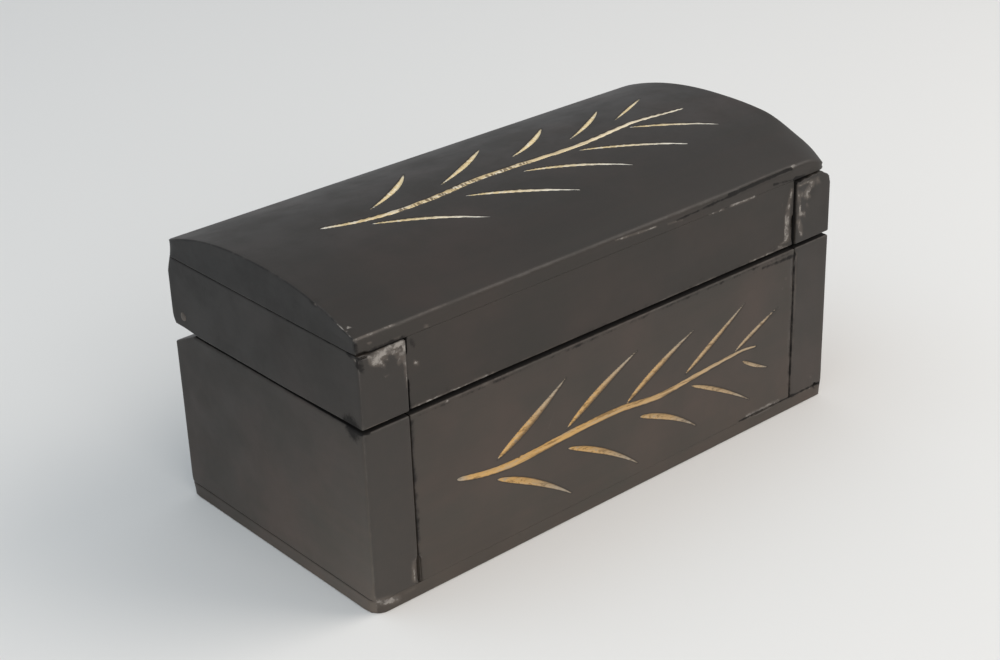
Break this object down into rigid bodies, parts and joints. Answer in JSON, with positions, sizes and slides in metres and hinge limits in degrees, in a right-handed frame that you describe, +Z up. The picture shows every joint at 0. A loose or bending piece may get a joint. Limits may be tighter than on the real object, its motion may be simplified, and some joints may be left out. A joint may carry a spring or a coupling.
{
  "type": "carved wooden trinket box",
  "caption": "Hollow wooden trinket box with a domed lid on a wooden peg hinge and carved leaf sprays on its front and top.",
  "frame": {"origin": "middle of the underside, on the surface that the box stands on", "axes": "+X along the box's length to the right, -Y out of the carved front, +Z up"},
  "size_m": [0.15, 0.074, 0.075],
  "materials": {
    "painted_wood": "dark brown-black satin paint, worn at the edges, bare golden wood in the carving",
    "peg_wood": "stained end grain"
  },
  "bodies": {
    "base": {"base_bottom": "painted_wood", "base_front": "painted_wood", "base_back": "painted_wood", "base_end_left": "painted_wood", "base_end_right": "painted_wood"},
    "lid": {"lid_top": "painted_wood", "lid_front": "painted_wood", "lid_back": "painted_wood", "lid_end_left": "painted_wood", "lid_end_right": "painted_wood", "hinge_peg_left": "peg_wood", "hinge_peg_right": "peg_wood"}
  },
  "joints": [
    {"name": "lid_hinge", "type": "hinge", "parent": "base", "child": "lid", "pos_m": [0, 0.03225, 0.0504], "axis": [-1, 0, 0], "range_deg": [0, 115]}
  ]
}
